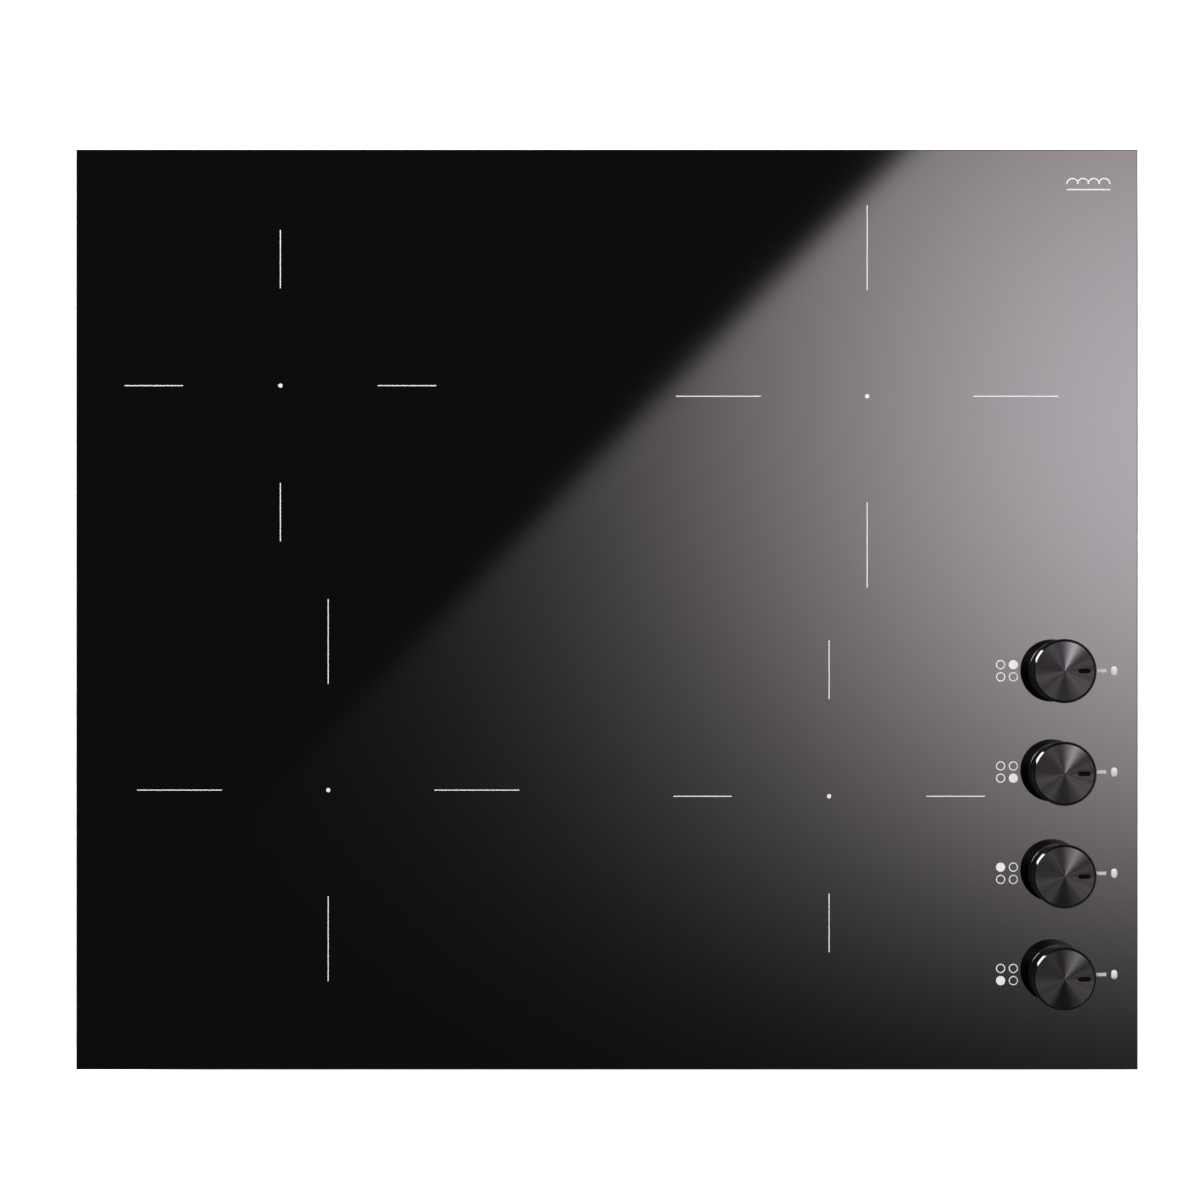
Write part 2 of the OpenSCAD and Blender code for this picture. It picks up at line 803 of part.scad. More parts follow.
module bracket_block(inset, low, high) {
    block([bracket_x0 + inset, bracket_y0 + inset, low], [bracket_x1 - inset, bracket_y1 - inset, high]);
}

module control_board() color("green") {
    bracket_block(bracket_wall + 0.2, panel_z, panel_z + panel_t);
    for (i = [0:2])
        translate([knob_x - chip_w / 2, knobs[i] - (knob_pitch + chip_w) / 2, panel_z + panel_t])
            cube([chip_w, chip_w, chip_t]);
}

module rotary_encoders() color("silver") for (y = knobs) translate([knob_x, y, encoder_z])
    difference() {
        union() {
            translate([-encoder_w / 2, -encoder_w / 2, 0]) cube([encoder_w, encoder_w, encoder_h]);
            cylinder(h = glass_z - encoder_z - 0.4, r = bushing_r);
        }
        translate([0, 0, 1]) cylinder(h = 20, r = shaft_r + shaft_play);
    }

// The flat on the shaft keys it to its knob
module encoder_shaft(y) color("silver") translate([knob_x, y, 0]) {
    low = encoder_z + 1.2;
    flat_from = knob_z + key_z;
    translate([0, 0, low]) cylinder(h = flat_from - low, r = shaft_r);
    translate([0, 0, flat_from]) linear_extrude(shaft_top - flat_from) keyed_circle();
}

// Low collar on the glass round the foot of each knob
module knob_bezels() color([0.05, 0.05, 0.05]) for (y = knobs) translate([knob_x, y, glass_top_z])
    rotate_extrude($fn = 128) {
        translate([bezel_r - bezel_w, 0]) square([bezel_w, bezel_h - bezel_edge_r]);
        translate([bezel_r - bezel_w, 0]) square([bezel_w - bezel_edge_r, bezel_h]);
        translate([bezel_r - bezel_edge_r, bezel_h - bezel_edge_r]) circle(bezel_edge_r);
    }

module shaft_seals() color("dimgray") for (y = knobs) translate([knob_x, y, 0]) difference() {
    union() {
        translate([0, 0, glass_z]) cylinder(h = glass_t, r = shaft_hole_r);
        translate([0, 0, glass_top_z]) cylinder(h = seal_flange_t, r = shaft_hole_r + seal_flange_w);
    }
    translate([0, 0, glass_z - 1]) cylinder(h = glass_t + 3, r = shaft_r + shaft_play);
}

// Hollow shell with a keyed hub on ribs; the top is sunk to take the metal disc
module knob(y) color([0.05, 0.05, 0.05]) translate([knob_x, y, knob_z]) difference() {
    union() {
        rotate_extrude($fn = 128) knob_section();
        for (a = [45:90:315]) rotate(a) translate([hub_out_r - 0.5, -rib_t / 2, 2])
            cube([knob_base_r - knob_wall - hub_out_r + 1.2, rib_t, hub_h - 1]);
    }
    translate([0, 0, -1]) cylinder(h = key_z + 1, r = shaft_r);
    translate([0, 0, key_z - 1]) linear_extrude(hub_h - key_z + 1) keyed_circle();
}

// Round shaft with one flat
module keyed_circle() intersection() {
    circle(shaft_r);
    translate([-shaft_r, -shaft_r]) square([2 * shaft_r - key_flat, 2 * shaft_r]);
}

module knob_section() {
    floor_z = knob_h - disc_sunk - disc_t;
    polygon([
        [knob_base_r - knob_wall, 0], [knob_base_r - knob_foot, 0], [knob_base_r, knob_foot],
        [knob_rim_r, knob_h - bevel_h], [knob_rim_r - bevel_w, knob_h], [knob_disc_r, knob_h],
        [knob_disc_r, floor_z], [0, floor_z], [0, 0], [hub_out_r, 0], [hub_out_r, hub_h],
        [knob_rim_r - knob_wall - 0.6, hub_h]
    ]);
}

module knob_disc(y) color("silver") translate([knob_x, y, knob_top - disc_sunk - disc_t])
    linear_extrude(disc_t) difference() {
        circle(knob_disc_r, $fn = 128);
        translate([(index_from + index_to) / 2, 0]) slot(index_to - index_from, index_w);
    }

// Mains connection

module terminal_housing() color("ghostwhite") {
    difference() {
        union() {
            block([-box_x, box_y0, sheet_t], [box_x, wall_y, box_top]);
            block([-box_x - box_rim, box_y0 - box_rim, sheet_t],
                [box_x + box_rim, wall_y, sheet_t + box_wall]);
        }
        block([-box_x + box_wall, box_y0 + box_wall, -1],
            [box_x - box_wall, wall_y - box_wall, box_top - box_wall]);
        translate([cable_x, wall_y - 5, cable_z]) rotate([-90, 0, 0])
            cylinder(h = 8, r = cable_r + grommet_wall);
        translate([0, hinge_y, hinge_z]) rotate([0, 90, 0])
            cylinder(h = 2 * box_x + 2, r = hinge_pin_r + shaft_play, center = true);
        for (x = wire_places) translate([x, box_y0 - 1, wire_z]) rotate([-90, 0, 0])
            cylinder(h = 4, r = wire_hole_r);
    }
    at_clamp_screws(clamp_z + clamp_t) difference() {
        cylinder(h = box_top - clamp_z - clamp_t - box_wall + eps, r = 3);
        translate([0, 0, -1]) cylinder(h = 8, r = screw_r);
    }
}

module at_clamp_screws(z) {
    for (side = [-1, 1]) translate([cable_x + side * clamp_screw_x, clamp_y, z]) children();
}

pole_places = [for (i = [0:poles - 1]) block_x0 + 6 + i * pole_pitch];
wire_places = [for (i = [0, 2, 4]) pole_places[i]];

module terminal_block() color("white") difference() {
    block([block_x0, block_y0, block_z],
        [block_x0 + poles * pole_pitch + 3, block_y1, box_top - box_wall]);
    for (x = pole_places) {
        translate([x, pole_y, block_z - 1]) cylinder(h = 9, r = 2.4);
        translate([x, block_y0 - 1, wire_z]) rotate([-90, 0, 0])
            cylinder(h = block_y1 - block_y0 + 2, r = wire_hole_r);
    }
}

// Hangs on two pins and swings down
module terminal_cover() color("ghostwhite") difference() {
    union() {
        block([-cover_half_w, hinge_y, hinge_z - barrel_r],
            [cover_half_w, floor_gap_y1 - 0.8, hinge_z - barrel_r + cover_t]);
        translate([0, hinge_y, hinge_z]) rotate([0, 90, 0])
            cylinder(h = 2 * cover_half_w, r = barrel_r, center = true);
        translate([0, hinge_y, hinge_z]) rotate([0, 90, 0])
            cylinder(h = 2 * cover_half_w + 6, r = hinge_pin_r, center = true);
        block([-catch_half_w, catch_y, hinge_z - barrel_r],
            [catch_half_w, catch_y + catch_t, catch_top]);
        for (x = cover_ribs_x) block([x - cover_rib_t / 2, hinge_y + 1, hinge_z - barrel_r],
            [x + cover_rib_t / 2, 232, cover_rib_top]);
    }
    translate([0, floor_gap_y1 - 4, 0]) linear_extrude(1.2) slot(14, 3);
}

module cable_clamp() color("ghostwhite") difference() {
    block([cable_x - clamp_half_l, clamp_y - clamp_half_w, clamp_z],
        [cable_x + clamp_half_l, clamp_y + clamp_half_w, clamp_z + clamp_t]);
    at_clamp_screws(clamp_z - 1) cylinder(h = clamp_t + 2, r = screw_r);
}

module cable_grommet() color("black") translate([cable_x, wall_y - box_wall, cable_z]) rotate([-90, 0, 0])
    difference() {
        union() {
            translate([0, 0, -2]) cylinder(h = 2, r = cable_r + grommet_flange);
            cylinder(h = box_wall + sheet_t, r = cable_r + grommet_wall);
            translate([0, 0, box_wall + sheet_t]) cylinder(h = 2.5, r = cable_r + grommet_flange);
        }
        translate([0, 0, -3]) cylinder(h = 12, r = cable_r);
    }

// Bowed leaves that wedge the casing in the worktop's cut-out
module fixing_springs() color("silver") for (side = [-1, 1], y = clip_y) on_side(side)
    translate([tray_w / 2, y, 0]) difference() {
        rotate([90, 0, 0]) linear_extrude(clip_w, center = true) polygon(clip_outline);
        translate([-1, 0, clip_z]) rotate([0, 90, 0]) cylinder(h = 3, r = screw_r);
    }

module on_side(side) {
    if (side > 0) children();
    else mirror([1, 0, 0]) children();
}

// Screws, all M3.5 pan heads
module pan_head_screws() color("silver") {
    for (at = board_holes) translate([at.x, at.y, board_top]) screw();
    for (at = plate_holes) translate([at.x, at.y, plate_top]) screw();
    at_clamp_screws(clamp_z) mirror([0, 0, 1]) screw();
    for (side = [-1, 1], y = clip_y) on_side(side) translate([tray_w / 2 + 0.8, y, clip_z])
        rotate([0, 90, 0]) screw();
    for (x = pole_places) translate([x, pole_y, block_z + 8]) mirror([0, 0, 1])
        cylinder(h = 4, r = 2.3);
}

module screw() difference() {
    union() {
        cylinder(h = screw_head_h, r = screw_head_r);
        translate([0, 0, -screw_l]) cylinder(h = screw_l + eps, r = screw_r);
    }
    for (a = [0, 90]) rotate(a) translate([-recess_l / 2, -recess_w / 2, 1])
        cube([recess_l, recess_w, 3]);
}

// Wires from the terminal block to the filter board, and the ribbon of the control board
module internal_wiring() {
    plug_end = plug_high.y;
    board_end = panel_z + panel_t;
    color("saddlebrown") for (x = wire_places) translate([x, plug_end, wire_z]) rotate([-90, 0, 0])
        cylinder(h = block_y0 - plug_end + 8, r = wire_r);
    color("gray") {
        ribbon([ribbon_x, ribbon_z], [ribbon_x + ribbon_t, board_end + ribbon_t]);
        ribbon([ribbon_x, board_end], [ribbon_x + ribbon_end_l, board_end + ribbon_t]);
        ribbon([ribbon_plug_x, ribbon_z], [ribbon_x + ribbon_t, ribbon_z + ribbon_t]);
        ribbon([ribbon_plug_x, board_top], [ribbon_plug_x + ribbon_plug_w, ribbon_z + eps]);
    }
}

module ribbon(low, high) {
    block([low.x, ribbon_y[0], low.y], [high.x, ribbon_y[1], high.y]);
}

glass_top();
zone_markings();
dial_markings();
worktop_gasket();
glass_bond_bead();
bottom_tray();
plate_rails();
left_coil_plate();
right_coil_plate();
coil_carrier(zones[0]);  // coil_carrier_rear_left
coil_carrier(zones[1]);  // coil_carrier_rear_right
coil_carrier(zones[2]);  // coil_carrier_front_left
coil_carrier(zones[3]);  // coil_carrier_front_right
winding(zones[0]);  // winding_rear_left
winding(zones[1]);  // winding_rear_right
winding(zones[2]);  // winding_front_left
winding(zones[3]);  // winding_front_right
ferrite_bars();
insulation_mats();
temperature_sensors();
carrier_springs();
coil_leads();
lead_terminals();
left_power_board();
right_power_board();
filter_board();
left_heatsink();
right_heatsink();
power_semiconductors();
film_capacitors();
filter_chokes();
left_blower_housing();
right_blower_housing();
left_blower_rotor();
right_blower_rotor();
control_bracket();
control_board();
rotary_encoders();
encoder_shaft(knobs[0]);  // encoder_shaft_rear_right
encoder_shaft(knobs[1]);  // encoder_shaft_front_right
encoder_shaft(knobs[2]);  // encoder_shaft_rear_left
encoder_shaft(knobs[3]);  // encoder_shaft_front_left
knob(knobs[0]);  // knob_rear_right
knob(knobs[1]);  // knob_front_right
knob(knobs[2]);  // knob_rear_left
knob(knobs[3]);  // knob_front_left
knob_disc(knobs[0]);  // knob_disc_rear_right
knob_disc(knobs[1]);  // knob_disc_front_right
knob_disc(knobs[2]);  // knob_disc_rear_left
knob_disc(knobs[3]);  // knob_disc_front_left
knob_bezels();
shaft_seals();
terminal_housing();
terminal_block();
terminal_cover();
cable_clamp();
cable_grommet();
fixing_springs();
pan_head_screws();
internal_wiring();
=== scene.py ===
import json
import math

import bmesh
import bpy
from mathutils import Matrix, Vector


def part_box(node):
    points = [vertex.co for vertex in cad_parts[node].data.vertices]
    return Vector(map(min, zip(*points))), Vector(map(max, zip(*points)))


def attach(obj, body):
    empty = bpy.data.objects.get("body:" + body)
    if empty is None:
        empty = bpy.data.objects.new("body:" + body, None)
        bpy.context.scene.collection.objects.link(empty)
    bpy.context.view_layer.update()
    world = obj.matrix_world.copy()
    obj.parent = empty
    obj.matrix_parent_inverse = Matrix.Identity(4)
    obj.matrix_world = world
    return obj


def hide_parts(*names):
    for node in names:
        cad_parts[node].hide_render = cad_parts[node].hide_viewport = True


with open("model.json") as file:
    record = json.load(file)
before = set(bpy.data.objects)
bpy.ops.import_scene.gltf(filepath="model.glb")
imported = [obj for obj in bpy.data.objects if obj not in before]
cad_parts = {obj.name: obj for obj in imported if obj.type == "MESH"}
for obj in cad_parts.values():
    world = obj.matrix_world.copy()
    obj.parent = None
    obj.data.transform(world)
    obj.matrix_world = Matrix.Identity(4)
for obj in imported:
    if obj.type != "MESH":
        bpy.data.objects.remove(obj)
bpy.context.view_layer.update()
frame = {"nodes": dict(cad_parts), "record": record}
MM = 0.001

ZONES = ("rear_left", "rear_right", "front_left", "front_right")
GLASS_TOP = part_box("glass_top")[1].z


# ---------------------------------------------------------------- shader helpers

class NodeBuilder:
    """Adds shader nodes to a material or a world, one short call for each kind of node."""

    def __init__(self, owner):
        owner.use_nodes = True
        self.nodes = owner.node_tree.nodes
        self.links = owner.node_tree.links

    def put(self, socket, value):
        """Links an output to a socket, or sets the socket to a plain value."""
        if isinstance(value, bpy.types.NodeSocket):
            self.links.new(value, socket)
        else:
            socket.default_value = value

    def split(self, vector):
        """The X, Y and Z outputs of a vector."""
        node = self.nodes.new("ShaderNodeSeparateXYZ")
        self.links.new(vector, node.inputs["Vector"])
        return node.outputs

    def maths(self, operation, a, b=0.0):
        node = self.nodes.new("ShaderNodeMath")
        node.operation = operation
        self.put(node.inputs[0], a)
        self.put(node.inputs[1], b)
        return node.outputs[0]

    def step(self, distance, width):
        """A smooth step from 0 to 1, some four widths wide."""
        fall = self.maths("EXPONENT", self.maths("DIVIDE", distance, -width))
        return self.maths("DIVIDE", 1.0, self.maths("ADD", 1.0, fall))

    def spread(self, factor, low, high, start=0.3, end=0.7):
        """Maps a factor, mostly between start and end, onto low to high."""
        node = self.nodes.new("ShaderNodeMapRange")
        node.inputs["From Min"].default_value = start
        node.inputs["From Max"].default_value = end
        node.inputs["To Min"].default_value = low
        node.inputs["To Max"].default_value = high
        self.put(node.inputs["Value"], factor)
        return node.outputs["Result"]

    def tint(self, factor, dark, light, start=0.3, end=0.7):
        """A colour between dark and light."""
        node = self.nodes.new("ShaderNodeValToRGB")
        node.color_ramp.elements[0].position = start
        node.color_ramp.elements[1].position = end
        node.color_ramp.elements[0].color = (*dark, 1.0)
        node.color_ramp.elements[1].color = (*light, 1.0)
        self.put(node.inputs["Fac"], factor)
        return node.outputs["Color"]


class Finish(NodeBuilder):
    """A material with one Principled shader. Its constants are set on the shader's own sockets."""

    def __init__(self, name, colour, roughness, metallic=0.0, **fixed):
        self.name = name
        self.material = bpy.data.materials.new(name)
        super().__init__(self.material)
        self.shader = self.nodes["Principled BSDF"]
        self.shader.inputs["Base Color"].default_value = (*colour, 1.0)
        self.shader.inputs["Roughness"].default_value = roughness
        self.shader.inputs["Metallic"].default_value = metallic
        for key, value in fixed.items():
            self.shader.inputs[key.replace("_", " ")].default_value = value
        self.place = self.nodes.new("ShaderNodeTexCoord").outputs["Object"]

    def stretched(self, scale, turn=0.0):
        """Object coordinates, scaled per axis, for streaks and grain with a direction."""
        node = self.nodes.new("ShaderNodeMapping")
        node.inputs["Scale"].default_value = scale
        node.inputs["Rotation"].default_value[2] = turn
        self.links.new(self.place, node.inputs["Vector"])
        return node.outputs["Vector"]

    def noise(self, scale, detail=3.0, vector=None, distortion=0.0):
        node = self.nodes.new("ShaderNodeTexNoise")
        node.inputs["Scale"].default_value = scale
        node.inputs["Detail"].default_value = detail
        node.inputs["Distortion"].default_value = distortion
        self.links.new(vector or self.place, node.inputs["Vector"])
        return node.outputs["Fac"]

    def cells(self, scale, output="Color", feature="F1"):
        node = self.nodes.new("ShaderNodeTexVoronoi")
        node.feature = feature
        node.inputs["Scale"].default_value = scale
        self.links.new(self.place, node.inputs["Vector"])
        return node.outputs[output]

    def wave(self, kind, direction, scale, distortion=0.0, vector=None):
        """Straight bands across a direction, or rings round it."""
        node = self.nodes.new("ShaderNodeTexWave")
        node.wave_type = kind
        setattr(node, kind.lower() + "_direction", direction)
        node.inputs["Scale"].default_value = scale
        node.inputs["Distortion"].default_value = distortion
        self.links.new(vector or self.place, node.inputs["Vector"])
        return node.outputs["Fac"]

    def colour(self, value):
        self.links.new(value, self.shader.inputs["Base Color"])

    def rough(self, value):
        self.links.new(value, self.shader.inputs["Roughness"])

    def bump(self, height, distance, strength=1.0):
        """Adds relief, distance metres high, on top of any relief already there."""
        node = self.nodes.new("ShaderNodeBump")
        node.inputs["Distance"].default_value = distance
        node.inputs["Strength"].default_value = strength
        self.put(node.inputs["Height"], height)
        normal = self.shader.inputs["Normal"]
        if normal.links:
            self.links.new(normal.links[0].from_socket, node.inputs["Normal"])
        self.links.new(node.outputs["Normal"], normal)
        return self


def shade(colour, factor):
    return tuple(channel * factor for channel in colour)


# ---------------------------------------------------------------- materials

def polished_glass():
    """Opaque black glass ceramic: mirror bright, with faint wipe marks and a hint of waviness."""
    f = Finish("black_glass", (0.0014, 0.0014, 0.0016), 0.04, IOR=1.5)
    wipes = f.noise(9.0, 4.0, f.stretched((1.0, 2.5, 1.0), 0.6), 0.4)
    specks = f.noise(900.0, 2.0)
    f.colour(f.tint(specks, (0.0010, 0.0010, 0.0012), (0.0018, 0.0017, 0.0020)))
    f.rough(f.spread(wipes, 0.02, 0.045))
    return f.bump(f.noise(14.0, 1.0), 0.00002, 0.3)


def enamel():
    """White enamel fired onto the glass, slightly grainy."""
    f = Finish("white_enamel", (0.47, 0.47, 0.47), 0.35, IOR=1.5)
    grain = f.noise(3500.0, 3.0)
    f.colour(f.tint(grain, (0.43, 0.43, 0.435), (0.51, 0.51, 0.51)))
    f.rough(f.spread(grain, 0.28, 0.42))
    return f.bump(grain, 0.00002, 0.4)


def foam():
    f = Finish("gasket_foam", (0.05, 0.05, 0.055), 0.9)
    pores = f.cells(1400.0, "Distance")
    f.colour(f.tint(pores, (0.025, 0.025, 0.028), (0.075, 0.075, 0.08), 0.1, 0.6))
    return f.bump(pores, 0.0002, 0.7)


def rubber(name, colour, roughness, shine=0.2):
    f = Finish(name, colour, roughness, Specular_IOR_Level=shine)
    grain = f.noise(1800.0, 4.0)
    f.colour(f.tint(grain, shade(colour, 0.75), shade(colour, 1.25)))
    f.rough(f.spread(grain, roughness - 0.08, roughness + 0.1))
    return f.bump(grain, 0.00004, 0.5)


def galvanised():
    """Zinc coated sheet: faint spangle, rolling lines and small scuffs."""
    f = Finish("galvanised_sheet", (0.5, 0.52, 0.54), 0.4, 1.0)
    spangle = f.cells(170.0)
    clouds = f.noise(22.0, 5.0)
    rolled = f.noise(60.0, 2.0, f.stretched((1.0, 30.0, 30.0)))
    mixed = f.maths("ADD", f.maths("MULTIPLY", spangle, 0.45), f.maths("MULTIPLY", clouds, 0.55))
    f.colour(f.tint(mixed, (0.40, 0.415, 0.43), (0.60, 0.615, 0.63), 0.25, 0.75))
    f.rough(f.spread(mixed, 0.30, 0.50, 0.25, 0.75))
    f.bump(rolled, 0.00003, 0.5)
    return f.bump(f.noise(700.0, 3.0), 0.00003, 0.5)


def metal(name, colour, roughness, lines=(1.0, 40.0, 40.0), grain=80.0):
    """Bare metal with fine lines along one axis and a gloss worn in clouds."""
    f = Finish(name, colour, roughness, 1.0)
    drawn = f.noise(grain, 3.0, f.stretched(lines))
    clouds = f.noise(45.0, 4.0)
    f.colour(f.tint(drawn, shade(colour, 0.82), shade(colour, 1.1)))
    f.rough(f.spread(clouds, roughness - 0.06, roughness + 0.12))
    return f.bump(drawn, 0.00003, 0.5)


def plastic(name, colour, roughness, grain=1500.0):
    """Moulded plastic with spark-eroded grain."""
    f = Finish(name, colour, roughness, IOR=1.46)
    clouds = f.noise(35.0, 3.0)
    spark = f.noise(grain, 3.0)
    f.colour(f.tint(clouds, shade(colour, 0.9), shade(colour, 1.1)))
    f.rough(f.spread(spark, roughness - 0.07, roughness + 0.09))
    return f.bump(spark, 0.00004, 0.6)


def litz():
    """Lacquered copper strands twisted round each turn of the winding."""
    f = Finish("copper_litz", (0.62, 0.28, 0.13), 0.35, 1.0)
    strands = f.wave("BANDS", "DIAGONAL", 420.0, 1.5)
    fine = f.noise(2500.0, 2.0)
    f.colour(f.tint(strands, (0.36, 0.14, 0.06), (0.74, 0.36, 0.18), 0.1, 0.8))
    f.rough(f.spread(fine, 0.25, 0.45))
    return f.bump(strands, 0.00015, 0.8)


def ceramic(name, colour, roughness):
    f = Finish(name, colour, roughness)
    grit = f.noise(2200.0, 5.0)
    pits = f.cells(900.0, "Distance")
    f.colour(f.tint(grit, shade(colour, 0.7), shade(colour, 1.3)))
    f.rough(f.spread(grit, roughness - 0.1, roughness + 0.1))
    return f.bump(pits, 0.00005, 0.5)


def felt():
    """Ceramic fibre mat: matted fibres in every direction."""
    f = Finish("ceramic_felt", (0.78, 0.76, 0.72), 0.95, Sheen_Weight=0.3)
    fibres = f.noise(900.0, 6.0, distortion=2.5)
    f.colour(f.tint(fibres, (0.62, 0.60, 0.56), (0.86, 0.84, 0.80)))
    return f.bump(fibres, 0.0003, 0.8)


def sleeve():
    """Braided glass fibre sleeving."""
    f = Finish("lead_sleeve", (0.26, 0.13, 0.07), 0.7)
    one = f.wave("BANDS", "DIAGONAL", 900.0)
    other = f.wave("BANDS", "DIAGONAL", 900.0, 0.0, f.stretched((-1.0, 1.0, 1.0)))
    braid = f.maths("MAXIMUM", one, other)
    f.colour(f.tint(braid, (0.12, 0.055, 0.03), (0.38, 0.20, 0.11), 0.2, 0.9))
    return f.bump(braid, 0.00015, 0.7)


def circuit_board():
    """Green solder mask over tracks and pads that show as slightly raised, lighter green."""
    f = Finish("circuit_board", (0.015, 0.11, 0.05), 0.35)
    tracks = f.cells(130.0, "Distance", "DISTANCE_TO_EDGE")
    pads = f.cells(260.0, "Distance")
    raised = f.maths("LESS_THAN", tracks, 0.07)
    f.colour(f.tint(raised, (0.012, 0.085, 0.038), (0.03, 0.19, 0.085), 0.2, 0.8))
    f.rough(f.spread(pads, 0.25, 0.45, 0.1, 0.7))
    return f.bump(raised, 0.00004, 0.6)


# The height on a knob from which it is polished.
POLISHED_FROM = 19.4 * MM


def knob_black():
    """Moulded knob, nearly black: the wall is satin, the bevel round the disc is polished."""
    f = Finish("knob_black", (0.0015, 0.0015, 0.0018), 0.12, IOR=1.5)
    polished = f.spread(f.split(f.place)["Z"], 0.0, 1.0, POLISHED_FROM - 0.2 * MM, POLISHED_FROM)
    hair = f.noise(160.0, 4.0, f.stretched((1.0, 1.0, 12.0)))
    satin = f.maths("SUBTRACT", 1.0, polished)
    f.colour(f.tint(hair, (0.001, 0.001, 0.0012), (0.0022, 0.0022, 0.0026)))
    f.rough(f.maths("ADD", f.spread(hair, 0.04, 0.09), f.maths("MULTIPLY", satin, 0.4)))
    f.put(f.shader.inputs["Specular IOR Level"], f.spread(polished, 0.06, 0.5, 0.0, 1.0))
    return f.bump(f.noise(2600.0, 2.0), 0.00001, 0.3)


# Painted reflections: the fans of reflected light painted into the colour of a knob's disc:
# direction and half width in degrees, and strength.
PAINTED_REFLECTION_RAYS = (
    (74, 14, 0.72), (45, 10, 0.06), (118, 12, 0.12), (200, 13, 0.17), (291, 8, 0.07),
    (312, 11, 0.18), (333, 8, 0.13), (20, 9, 0.12), (353, 7, 0.12),
)


def spun_metal():
    """Dark metal turned on a lathe: its circular grooves fan real reflections out from the middle,
    and fans of reflected light are painted into its colour as well.
    """
    f = Finish("knob_spun_metal", (0.02, 0.02, 0.021), 0.42, 1.0, Anisotropic=0.95)
    around = f.nodes.new("ShaderNodeTangent")
    around.direction_type = "RADIAL"
    around.axis = "Z"
    f.links.new(around.outputs["Tangent"], f.shader.inputs["Tangent"])
    place = f.split(f.place)
    angle = f.maths("ARCTAN2", place["Y"], place["X"])
    # Painted reflection: bright fans at fixed angles round the disc, added to its colour.
    painted_rays = 0.0
    for degrees, width, weight in PAINTED_REFLECTION_RAYS:
        away = f.maths("COSINE", f.maths("SUBTRACT", angle, math.radians(degrees)))
        painted_fan = f.maths("POWER", f.maths("MAXIMUM", away, 0.0), 1.4 / math.radians(width) ** 2)
        painted_rays = f.maths("ADD", painted_rays, f.maths("MULTIPLY", painted_fan, weight))
    grooves = f.wave("RINGS", "Z", 5200.0)
    # The colour is the painted reflection fans plus faint rings for the grooves.
    painted_rays_and_grooves = f.maths("ADD", painted_rays, f.maths("MULTIPLY", grooves, 0.12))
    f.colour(f.tint(painted_rays_and_grooves, (0.007, 0.007, 0.0075), (0.15, 0.145, 0.15), 0.0, 1.0))
    f.rough(f.spread(grooves, 0.38, 0.46, 0.0, 1.0))
    return f.bump(grooves, 0.000004, 0.5)


def make_materials():
    """One material for each of the record's slots."""
    finishes = [
        polished_glass(), enamel(), foam(), galvanised(), litz(), felt(), sleeve(),
        circuit_board(), knob_black(), spun_metal(),
        rubber("silicone", (0.02, 0.02, 0.022), 0.4),
        rubber("sensor_silicone", (0.34, 0.05, 0.03), 0.5),
        rubber("seal_rubber", (0.002, 0.002, 0.0024), 0.6, 0.01),
        metal("aluminium_sheet", (0.72, 0.73, 0.75), 0.38),
        metal("spring_steel", (0.56, 0.57, 0.58), 0.28, (20.0, 20.0, 1.0)),
        metal("brass", (0.70, 0.50, 0.20), 0.3, (20.0, 20.0, 1.0)),
        metal("heatsink_aluminium", (0.66, 0.67, 0.69), 0.45, (30.0, 1.0, 30.0)),
        metal("encoder_metal", (0.55, 0.55, 0.56), 0.33, (20.0, 20.0, 1.0)),
        metal("screw_steel", (0.60, 0.61, 0.63), 0.25, (15.0, 15.0, 15.0), 200.0),
        plastic("carrier_plastic", (0.028, 0.028, 0.031), 0.6),
        plastic("component_black", (0.012, 0.012, 0.013), 0.5),
        plastic("capacitor_blue", (0.035, 0.075, 0.22), 0.3, 900.0),
        plastic("blower_plastic", (0.02, 0.02, 0.022), 0.45),
        plastic("rotor_plastic", (0.045, 0.045, 0.05), 0.45),
        plastic("bracket_plastic", (0.13, 0.135, 0.145), 0.55),
        plastic("terminal_plastic", (0.62, 0.61, 0.57), 0.5),
        ceramic("ferrite", (0.03, 0.03, 0.034), 0.6),
        ceramic("choke_core", (0.30, 0.10, 0.025), 0.4),
    ]
    return {f.name: f.material for f in finishes}


MATERIALS = make_materials()


# How wide the softened edges of these nodes are, in mm.
EDGE_WIDTHS = {
    "glass_top": 0.15, "bottom_tray": 0.2, "fixing_springs": 0.15, "worktop_gasket": 0.3,
}


def paint_cad_nodes():
    """Gives each CAD node its slot's material and softens the hard edges of a few."""
    for part in frame["record"]["subparts"]:
        piece = frame["nodes"][part["node"]]
        piece.data.materials.clear()
        piece.data.materials.append(MATERIALS[part["material_slot"]])
        width = EDGE_WIDTHS.get(part["node"])
        if width:
            bevel = piece.modifiers.new("soft_edges", "BEVEL")
            bevel.width = width * MM
            bevel.segments = 3
            bevel.limit_method = "ANGLE"
            bevel.angle_limit = math.radians(35)
            bevel.harden_normals = True


# ---------------------------------------------------------------- pieces made here

TURN_STEPS = 160
# The index slot in a knob's disc runs along X. The oval off mark stands beside the knob.
INDEX_FROM, INDEX_TO, INDEX_WIDTH, INDEX_DEPTH = 7.5 * MM, 14.4 * MM, 2.6 * MM, 0.6 * MM
OFF_MARK_X, OFF_MARK_SIZE = 31.8 * MM, (1.7 * MM, 2.6 * MM, 0.45 * MM)


def finish_piece(piece, body, slot, smooth_angle):
    """Gives a piece its material, its body and smooth faces, with edges sharp beyond the angle."""
    piece.data.materials.clear()
    piece.data.materials.append(MATERIALS[slot])
    for face in piece.data.polygons:
        face.use_smooth = True
    piece.data.set_sharp_from_angle(angle=math.radians(smooth_angle))
    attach(piece, body)


